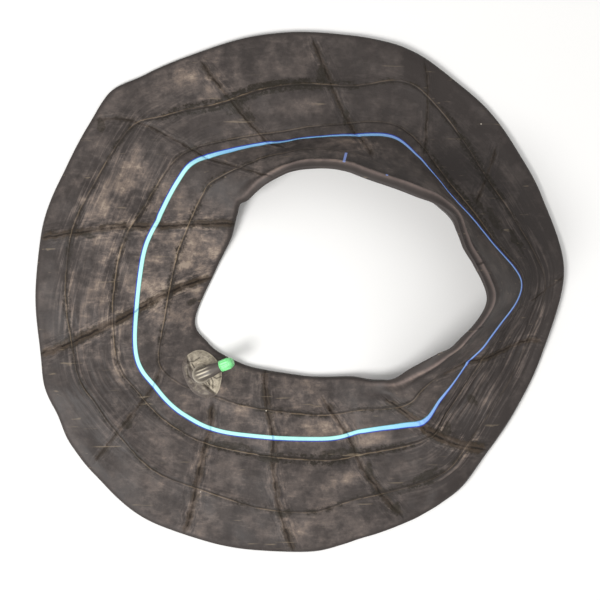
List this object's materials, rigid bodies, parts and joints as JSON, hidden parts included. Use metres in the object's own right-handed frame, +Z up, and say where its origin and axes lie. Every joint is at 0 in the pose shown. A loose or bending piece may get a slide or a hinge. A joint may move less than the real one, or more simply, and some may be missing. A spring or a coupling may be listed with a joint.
{
  "type": "inner tube",
  "caption": "Limp deflated rubber inner tube with a painted stripe, a bent-over rubber valve stem with sprung core, and a screw cap.",
  "frame": {"origin": "under the middle of the ring's bounding box, on the floor the tube lies on", "axes": "+Z up from the floor, +X along the ring's longest extent, +Y across it in plan"},
  "size_m": [0.4512, 0.442, 0.0797],
  "materials": {
    "butyl_casing": "satin with talc haze and fold marks",
    "talc_rubber": "matt, filmed with talc",
    "stem_rubber": "satin",
    "brass": "machined",
    "nickel_brass": "machined, nickel washed",
    "seal_rubber": "matt",
    "spring_steel": "drawn wire",
    "green_plastic": "injection moulded"
  },
  "bodies": {
    "tube": {"tube_casing": "butyl_casing", "valve_pad": "talc_rubber"},
    "valve_stem": {"rubber_stem": "stem_rubber", "brass_stem": "brass", "core_head": "nickel_brass", "core_barrel": "nickel_brass", "barrel_gasket": "seal_rubber", "core_spring": "spring_steel"},
    "core_pin": {"core_pin": "nickel_brass", "core_cup": "brass", "cup_seal": "seal_rubber"},
    "cap_seal": {"cap_seal": "seal_rubber"},
    "valve_cap": {"valve_cap": "green_plastic"}
  },
  "joints": [
    {"name": "stem_lean", "type": "hinge", "parent": "tube", "child": "valve_stem", "pos_m": [-0.08425, -0.06966, 0.0173], "axis": [0.3827, -0.9239, 0], "range_deg": [-12, 73], "stiffness_Nm_per_rad": 0.12, "springref_deg": 1.15},
    {"name": "core_press", "type": "slide", "parent": "valve_stem", "child": "core_pin", "axis": [0.8835, 0.366, 0.2924], "range_m": [-0.0015, 0], "stiffness_N_per_m": 300, "springref_m": 0.002, "deforming": ["core_spring"]},
    {"name": "cap_lift", "type": "slide", "parent": "valve_stem", "child": "cap_seal", "axis": [0.8835, 0.366, 0.2924], "range_m": [0, 0.00714]},
    {"name": "cap_spin", "type": "hinge", "parent": "cap_seal", "child": "valve_cap", "pos_m": [-0.06216, -0.06051, 0.02461], "axis": [0.8835, 0.366, 0.2924], "range_deg": [0, 3240]}
  ],
  "couplings": [
    {"joint": "cap_spin", "follows": "cap_lift", "rad_per_m": 7915.8}
  ]
}
